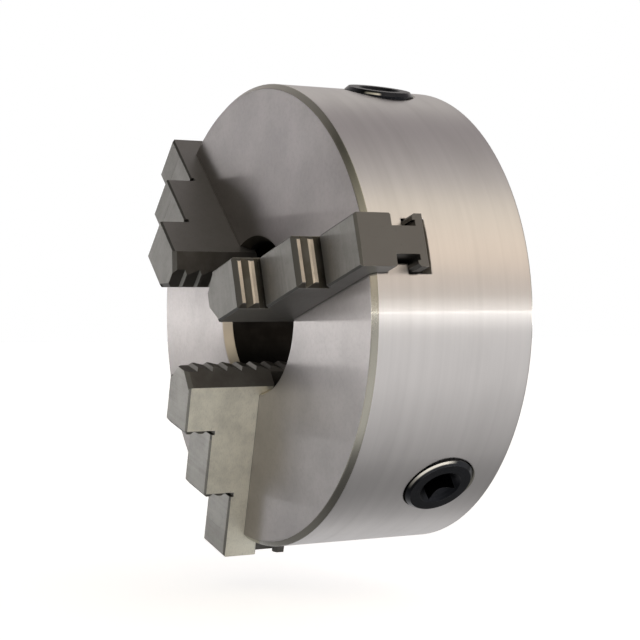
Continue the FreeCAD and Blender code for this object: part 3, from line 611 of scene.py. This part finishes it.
def jaw_steel(name, angle, painted_light_level):
    """Hardened jaw: ground step tops, painted highlights on the serration crests, painted shade in the
    grooves, reliefs, buried part and tip, a dark end, and painted light and shade on its sides.
    """
    material, graph, shader, spot, facing = metal(name)
    x, y, z = graph.split(spot)
    nx, ny, nz = graph.split(facing)
    turn = (math.cos(angle), math.sin(angle))
    out = graph.along(turn, x, z)
    aside = graph.aside(turn, x, z)
    out_facing = graph.along(turn, nx, nz)
    side_facing = graph.aside(turn, nx, nz)
    radius = graph.length(x, z)

    # Where each finish and each painted highlight or shade lies.  Ribs and grooves follow the jaw's
    # length, lands and walls the radius.
    top = graph.step(ny, *JAW_FORWARD)
    facing_out = graph.step(out_facing, *JAW_OUTWARD)
    inside = graph.step(
        graph.math("ABSOLUTE", aside),
        JAW_HALF_WIDTH - SIDE_MARGIN[0],
        JAW_HALF_WIDTH - SIDE_MARGIN[1],
    )
    crest = graph.both(facing_out, graph.either(*[
        graph.near(out, riser, *CREST_REACH) for riser in RISERS
    ]))
    groove = graph.either(*[
        graph.window(
            out,
            [riser - SERRATION_DEPTH - reach for reach in GROOVE_FOOT],
            [riser - reach for reach in GROOVE_MOUTH],
        )
        for riser in RISERS
    ])
    groove = graph.both(graph.both(groove, inside), graph.step(ny, *GROOVE_WALL))
    land = graph.both(top, graph.either(*[
        graph.window(
            radius,
            (riser - SERRATION_DEPTH, riser - SERRATION_DEPTH + FADE),
            [end - reach for reach in LAND_END],
        )
        for riser, end in zip(RISERS, LAND_ENDS)
    ]))
    wall = graph.both(facing_out, graph.either(*[
        graph.near(radius, end, *WALL_REACH) for end in LAND_ENDS
    ]))
    relief = graph.both(graph.both(inside, graph.step(ny, *RELIEF_WALL)), graph.either(*[
        graph.window(
            out,
            [riser + reach for reach in RELIEF_START],
            (riser + RELIEF_WIDTH + RELIEF_END, riser + RELIEF_WIDTH),
        )
        for riser in RISERS
    ]))
    relief = graph.both(relief, graph.step(out_facing, *RELIEF_NOT_OUTWARD))
    end_face = graph.both(facing_out, graph.step(out, *[JAW_END - reach for reach in END_FACE_REACH]))
    buried = graph.step(y, FACE_Y + RAIL_TOP_DEPTH - 2.0 * FADE, FACE_Y + RAIL_TOP_DEPTH)
    tip = graph.both(graph.step(out_facing, *JAW_INWARD), graph.step(ny, *OFF_TOP))
    bevel = graph.window(ny, *BEVEL_TILT)
    seam = graph.both(top, graph.either(*[
        graph.near(radius, end, *SEAM_REACH) for end in LAND_ENDS
    ]))

    stretched = graph.join(graph.part(x, SCRATCH_DRAW), y, graph.part(z, SCRATCH_DRAW))
    scratches = graph.noise(stretched, *JAW_SCRATCHES)
    cloud = graph.noise(spot, *JAW_CLOUDS)
    speck = graph.noise(spot, *JAW_SPECKS)
    edge_patch = graph.noise(spot, *JAW_EDGE_PATCHES)
    across = graph.join(out, graph.part(aside, GRINDING_DRAW), 0.0)
    drawn = graph.noise(across, *JAW_GRINDING)
    dark_marks, light_marks = [
        graph.both(top, graph.part(graph.step(drawn, *ends), share))
        for ends, share in (DARK_MARKS, LIGHT_MARKS)
    ]

    # Painted light and shade: sides facing one way round are painted lit, the others painted shaded.
    tone = graph.mix(graph.step(side_facing, *JAW_LIT_SIDE), JAW_PAINTED_SHADED_SIDE, JAW_PAINTED_LIT_SIDE)
    tone = graph.mix(top, tone, JAW_TOP)
    tone = graph.mix(land, tone, JAW_LAND)
    # Painted shade: the jaw inside the slot is painted nearly black.
    tone = graph.mix(buried, tone, JAW_BURIED_PAINTED_SHADE)
    tone = graph.mix(end_face, tone, JAW_END_COLOR)
    # Painted shade: the inward tip faces are painted dark.
    tone = graph.mix(tip, tone, JAW_TIP_PAINTED_SHADE)
    # Painted shade: grooves and reliefs are painted nearly black.
    tone = graph.layer(tone, graph.either(groove, relief), GROOVE_SHADE_SHARE, JAW_GROOVE_PAINTED_SHADE)
    tone = graph.mix(wall, tone, JAW_WALL)
    # Painted highlight: the serration crests are painted bright beige.
    tone = graph.layer(tone, crest, CREST_HIGHLIGHT_SHARE, JAW_CREST_PAINTED_HIGHLIGHT)
    tone = graph.stain(tone, cloud, JAW_CLOUD_STAIN, JAW_TOP)
    tone = graph.stain(tone, scratches, JAW_SCRATCH_STAIN, JAW_TOP)
    tone = graph.stain(tone, speck, JAW_SPECK_STAIN, JAW_SPECK)
    tone = graph.mix(dark_marks, tone, shade(JAW_TOP, DARK_MARK_SHADE))
    tone = graph.mix(light_marks, tone, JAW_EDGE)
    tone = graph.layer(tone, bevel, BEVEL_SHARE, shade(JAW_TOP, BEVEL_SHADE))
    worn = graph.both(edge_wear(graph, STEEL_WEAR_RADIUS), graph.blend(seam, 1.0, 0.0))
    rubbed = graph.mix(graph.step(edge_patch, *JAW_WEAR_PATTERN), JAW_EDGE_DARK, JAW_EDGE)
    tone = graph.layer(tone, worn, JAW_WEAR_SHARE, rubbed)
    # Painted light: the whole jaw is darkened or lightened by its painted light level.
    tone = graph.mix(1.0, tone, grey(painted_light_level), "MULTIPLY")
    graph.feed(shader.inputs["Base Color"], tone)

    lit_side = graph.both(graph.step(side_facing, *JAW_SATIN_SIDE), SIDE_SATIN)
    satin = graph.either(graph.part(crest, CREST_SATIN), graph.part(wall, CREST_SATIN), lit_side)
    graph.feed(shader.inputs["Metallic"], graph.math("SUBTRACT", JAW_METALLIC, satin))
    open_rough = graph.spread(JAW_ROUGHNESS, cloud, JAW_ROUGHNESS_SPREAD)
    graph.feed(shader.inputs["Roughness"], graph.blend(crest, open_rough, CREST_ROUGHNESS))
    bump(graph, shader, graph.spread(scratches, speck, SPECK_RELIEF), JAW_RELIEF)
    return material


def ground_steel(name, color, roughness, edge_color):
    """Ground flats with short straight scratches, faint stains and broken bright edges."""
    material, graph, shader, spot, facing = metal(name)
    x, y, z = graph.split(spot)
    stretched = graph.join(graph.part(x, SCRATCH_DRAW), y, graph.part(z, SCRATCH_DRAW))
    scratches = graph.noise(stretched, *GROUND_SCRATCHES)
    cloud = graph.noise(spot, *GROUND_CLOUDS)
    speck = graph.noise(spot, *GROUND_SPECKS)
    tone = graph.stain(color, cloud, GROUND_CLOUD_STAIN, color)
    tone = graph.stain(tone, scratches, GROUND_SCRATCH_STAIN, color)
    tone = graph.stain(tone, speck, GROUND_SPECK_STAIN, GROUND_SPECK)
    tone = graph.layer(tone, edge_wear(graph, STEEL_WEAR_RADIUS), GROUND_WEAR_SHARE, edge_color)
    graph.feed(shader.inputs["Base Color"], tone)
    graph.feed(shader.inputs["Roughness"], graph.spread(roughness, cloud, GROUND_ROUGHNESS_SPREAD))
    bump(graph, shader, graph.spread(scratches, speck, SPECK_RELIEF), GROUND_RELIEF)
    return material


def black_steel(name, color, roughness, edge_color):
    """Black-oxided steel: matt blue-black with a fine grain and rubbed edges."""
    material, graph, shader, spot, facing = metal(name)
    grain = graph.noise(spot, *OXIDE_GRAIN)
    cloud = graph.noise(spot, *OXIDE_CLOUDS)
    tone = graph.stain(color, cloud, OXIDE_CLOUD_STAIN, color)
    rub = graph.both(edge_wear(graph, OXIDE_WEAR_RADIUS), graph.step(cloud, *OXIDE_WEAR_PATTERN))
    tone = graph.layer(tone, rub, OXIDE_WEAR_SHARE, edge_color)
    graph.feed(shader.inputs["Base Color"], tone)
    graph.feed(shader.inputs["Roughness"], graph.spread(roughness, grain, OXIDE_ROUGHNESS_SPREAD))
    bump(graph, shader, grain, OXIDE_RELIEF)
    return material


def pinion_steel(name, angle, highlight_at, highlight_half):
    """Black-oxided pinion with a painted highlight along one arc of its outer chamfer."""
    material, graph, shader, spot, facing = metal(name)
    x, y, z = graph.split(spot)
    nx, ny, nz = graph.split(facing)
    turn = (math.cos(angle), math.sin(angle))
    out_facing = graph.along(turn, nx, nz)
    aside = graph.aside(turn, x, z)
    lift = graph.math("SUBTRACT", y, PINION_Y)
    girth = graph.length(aside, lift)
    chamfer_start = PINION_RADIUS - PINION_CHAMFER_WIDTH
    chamfer = graph.both(
        graph.window(out_facing, *PINION_CHAMFER_TILT),
        graph.step(girth, chamfer_start, chamfer_start + FADE),
    )
    towards_arc = graph.along((math.cos(highlight_at), math.sin(highlight_at)), aside, lift)
    nearness = graph.math("DIVIDE", towards_arc, girth)
    highlight_start = PINION_RADIUS - PINION_HIGHLIGHT_WIDTH
    highlight_arc = graph.both(
        graph.step(nearness, math.cos(highlight_half), math.cos(highlight_half / 2.0)),
        graph.step(girth, highlight_start, highlight_start + FADE),
    )
    grain = graph.noise(spot, *OXIDE_GRAIN)
    cloud = graph.noise(spot, *OXIDE_CLOUDS)
    rings = graph.noise(graph.join(0.0, girth, 0.0), *OXIDE_RINGS)
    tone = graph.stain(PINION_BLACK, cloud, PINION_CLOUD_STAIN, PINION_BLACK)
    tone = graph.stain(tone, rings, PINION_RING_STAIN, PINION_BLACK)
    oxidised = graph.both(chamfer, graph.step(cloud, *PINION_CHAMFER_PATTERN))
    tone = graph.mix(oxidised, tone, PINION_CHAMFER)
    rub = graph.both(edge_wear(graph, OXIDE_WEAR_RADIUS), graph.step(cloud, *PINION_WEAR_PATTERN))
    tone = graph.layer(tone, rub, PINION_WEAR_SHARE, PINION_RUB)
    # Painted highlight: a bright arc on the chamfer.
    tone = graph.mix(graph.both(chamfer, highlight_arc), tone, PINION_PAINTED_HIGHLIGHT)
    graph.feed(shader.inputs["Base Color"], tone)
    open_rough = graph.spread(PINION_ROUGHNESS, grain, OXIDE_ROUGHNESS_SPREAD)
    graph.feed(shader.inputs["Roughness"], graph.blend(chamfer, open_rough, PINION_CHAMFER_ROUGHNESS))
    bump(graph, shader, grain, PINION_RELIEF)
    return material


def direction_of(node):
    """Angle round the chuck's axis at which a node sits."""
    low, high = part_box(node)
    middle = (low + high) / 2.0
    return math.atan2(middle.z, middle.x)


def snapped(angle):
    """The nearest of the six directions that jaws and pinions can have."""
    return FIRST_JAW_ANGLE + DIRECTION_STEP * round((angle - FIRST_JAW_ANGLE) / DIRECTION_STEP)


body_iron = turned_iron("body_iron", RIM_COLOR, FACE_COLOR, RECESS_PAINTED_SHADE)
cover_iron = ground_steel("cover_iron", COVER_COLOR, COVER_ROUGHNESS, COVER_EDGE)
scroll_steel = ground_steel("scroll_steel", SCROLL_COLOR, SCROLL_ROUGHNESS, SCROLL_EDGE)
screw_steel = black_steel("screw_steel", SCREW_COLOR, SCREW_ROUGHNESS, SCREW_EDGE)


def finish_for(node):
    """The node's material; jaws and pinions have one each, made for the way they point."""
    family = node.rstrip("0123456789").rstrip("_")
    if family == "jaw":
        return jaw_steel(node + "_steel", snapped(direction_of(node)), JAW_PAINTED_LIGHT_LEVEL[node])
    if family == "pinion":
        highlight_at, highlight_half = (math.radians(angle) for angle in PINION_HIGHLIGHT_ARC[node])
        return pinion_steel(node + "_steel", snapped(direction_of(node)), highlight_at, highlight_half)
    return {
        "chuck_body": body_iron,
        "back_cover": cover_iron,
        "scroll_plate": scroll_steel,
        "pinion_retainer": screw_steel,
        "cover_screw": screw_steel,
    }[family]


for node_name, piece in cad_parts.items():
    piece.data.materials.clear()
    piece.data.materials.append(finish_for(node_name))


# ---- floor, room and camera ---------------------------------------------------------------

def seen_or_thrown(graph, seen, thrown):
    """A shader that the camera sees as one thing and that the metal mirrors as another."""
    chosen = graph.node("ShaderNodeMixShader")
    graph.feed(chosen.inputs[0], graph.node("ShaderNodeLightPath").outputs["Is Camera Ray"])
    graph.feed(chosen.inputs[1], thrown.outputs[0])
    graph.feed(chosen.inputs[2], seen.outputs[0])
    return chosen.outputs[0]


def floor_mesh():
    """Large flat disc, below the lowest point that the jaws can reach."""
    height = cad_low.z - JAW_TRAVEL_OUT - FLOOR_GAP
    corner_angle = 2.0 * math.pi / FLOOR_CORNERS
    ring = [
        (
            FLOOR_RADIUS * math.cos(corner_angle * index),
            FLOOR_RADIUS * math.sin(corner_angle * index),
            height,
        )
        for index in range(FLOOR_CORNERS)
    ]
    mesh = bpy.data.meshes.new("floor")
    mesh.from_pydata(ring, [], [tuple(range(FLOOR_CORNERS))])
    return mesh


def floor_material():
    """Pale paper to the camera; to the metal, bands of light across the chuck's width."""
    material = bpy.data.materials.new("floor_paper")
    material.use_nodes = True
    graph = Graph(material.node_tree)
    paper = graph.node("ShaderNodeBsdfPrincipled")
    paper.inputs["Base Color"].default_value = FLOOR_COLOR
    paper.inputs["Roughness"].default_value = FLOOR_ROUGHNESS
    paper.inputs["Specular IOR Level"].default_value = FLOOR_SPECULAR
    paper.inputs["Emission Color"].default_value = FLOOR_COLOR
    paper.inputs["Emission Strength"].default_value = FLOOR_GLOW
    x, y = graph.split(graph.node("ShaderNodeTexCoord").outputs["Object"])[:2]
    across = graph.math("MULTIPLY_ADD", x, 0.5 / FLOOR_REACH, 0.5, clamp=True)
    side_light = graph.ramp(across, [
        (0.5 + 0.5 * place / FLOOR_REACH, (level, level * 0.99, level)) for place, level in FLOOR_BANDS
    ])
    front_left, front_right = (grey(level) for level in FRONT_FLOOR)
    front_light = graph.mix(graph.step(x, *FRONT_FLOOR_CHANGE), front_left, front_right)
    near_front = graph.window(y, FRONT_FLOOR_EDGE, FRONT_FLOOR_END)
    under_face = graph.both(
        graph.step(y, *UNDER_FACE_DEPTH),
        graph.step(graph.math("ABSOLUTE", x), *UNDER_FACE_WIDTH),
    )
    light = graph.layer(side_light, under_face, UNDER_FACE_SHARE, grey(UNDER_FACE_LEVEL))
    light = graph.mix(near_front, light, front_light)
    thrown = graph.node("ShaderNodeEmission", {"Color": light, "Strength": 1.0})
    graph.output("ShaderNodeOutputMaterial", seen_or_thrown(graph, paper, thrown))
    return material


def make_floor():
    floor = bpy.data.objects.new("floor", floor_mesh())
    bpy.context.scene.collection.objects.link(floor)
    floor.data.materials.append(floor_material())


def make_room():
    """White to the camera; to the metal, bands of light round the chuck and a bright low horizon."""
    world = bpy.data.worlds.new("studio")
    world.use_nodes = True
    bpy.context.scene.world = world
    graph = Graph(world.node_tree)
    x, y, z = graph.split(graph.node("ShaderNodeTexCoord").outputs["Generated"])
    turn = graph.math("DIVIDE", graph.math("ARCTAN2", z, x), math.pi, clamp=True)
    behind, ahead = [
        graph.ramp(turn, [(angle / 180.0, color) for angle, color in bands])
        for bands in (BACK_BANDS, FRONT_BANDS)
    ]
    in_front = graph.step(y, FRONT_EDGE, -FRONT_EDGE)
    bands = graph.mix(in_front, behind, ahead)
    horizon = graph.mix(
        in_front,
        grey(HORIZON_GLOW, HORIZON_WARMTH),
        grey(HORIZON_GLOW * FRONT_HORIZON_SHARE, HORIZON_WARMTH),
    )
    low = graph.step(graph.math("ABSOLUTE", z), HORIZON_HEIGHT, HORIZON_HEIGHT / 2.0)
    light = graph.mix(low, bands, horizon)
    thrown = graph.node("ShaderNodeBackground", {"Color": light, "Strength": 1.0})
    paper = graph.node("ShaderNodeBackground", {"Color": WHITE, "Strength": 1.0})
    graph.output("ShaderNodeOutputWorld", seen_or_thrown(graph, paper, thrown))


def make_camera():
    """The photo's view: level with the axis, from in front and to the right."""
    azimuth = math.radians(CAMERA_AZIMUTH)
    elevation = math.radians(CAMERA_ELEVATION)
    back = Vector((
        math.sin(azimuth) * math.cos(elevation),
        -math.cos(azimuth) * math.cos(elevation),
        math.sin(elevation),
    ))
    right = Vector((math.cos(azimuth), math.sin(azimuth), 0.0))
    up = back.cross(right)
    axes = Matrix((right, up, back)).transposed().to_4x4()
    camera = bpy.data.objects.new("camera", bpy.data.cameras.new("camera"))
    camera.data.lens = CAMERA_LENS
    camera.data.sensor_width = SENSOR_WIDTH
    camera.data.clip_start, camera.data.clip_end = CAMERA_CLIP
    place = Matrix.Translation(CAMERA_TARGET + back * CAMERA_DISTANCE)
    camera.matrix_world = place @ axes @ Matrix.Rotation(math.radians(CAMERA_ROLL), 4, "Z")
    bpy.context.scene.collection.objects.link(camera)
    bpy.context.scene.camera = camera


make_floor()
make_room()
make_camera()
bpy.context.scene.view_settings.view_transform = "Standard"

bpy.context.view_layer.update()
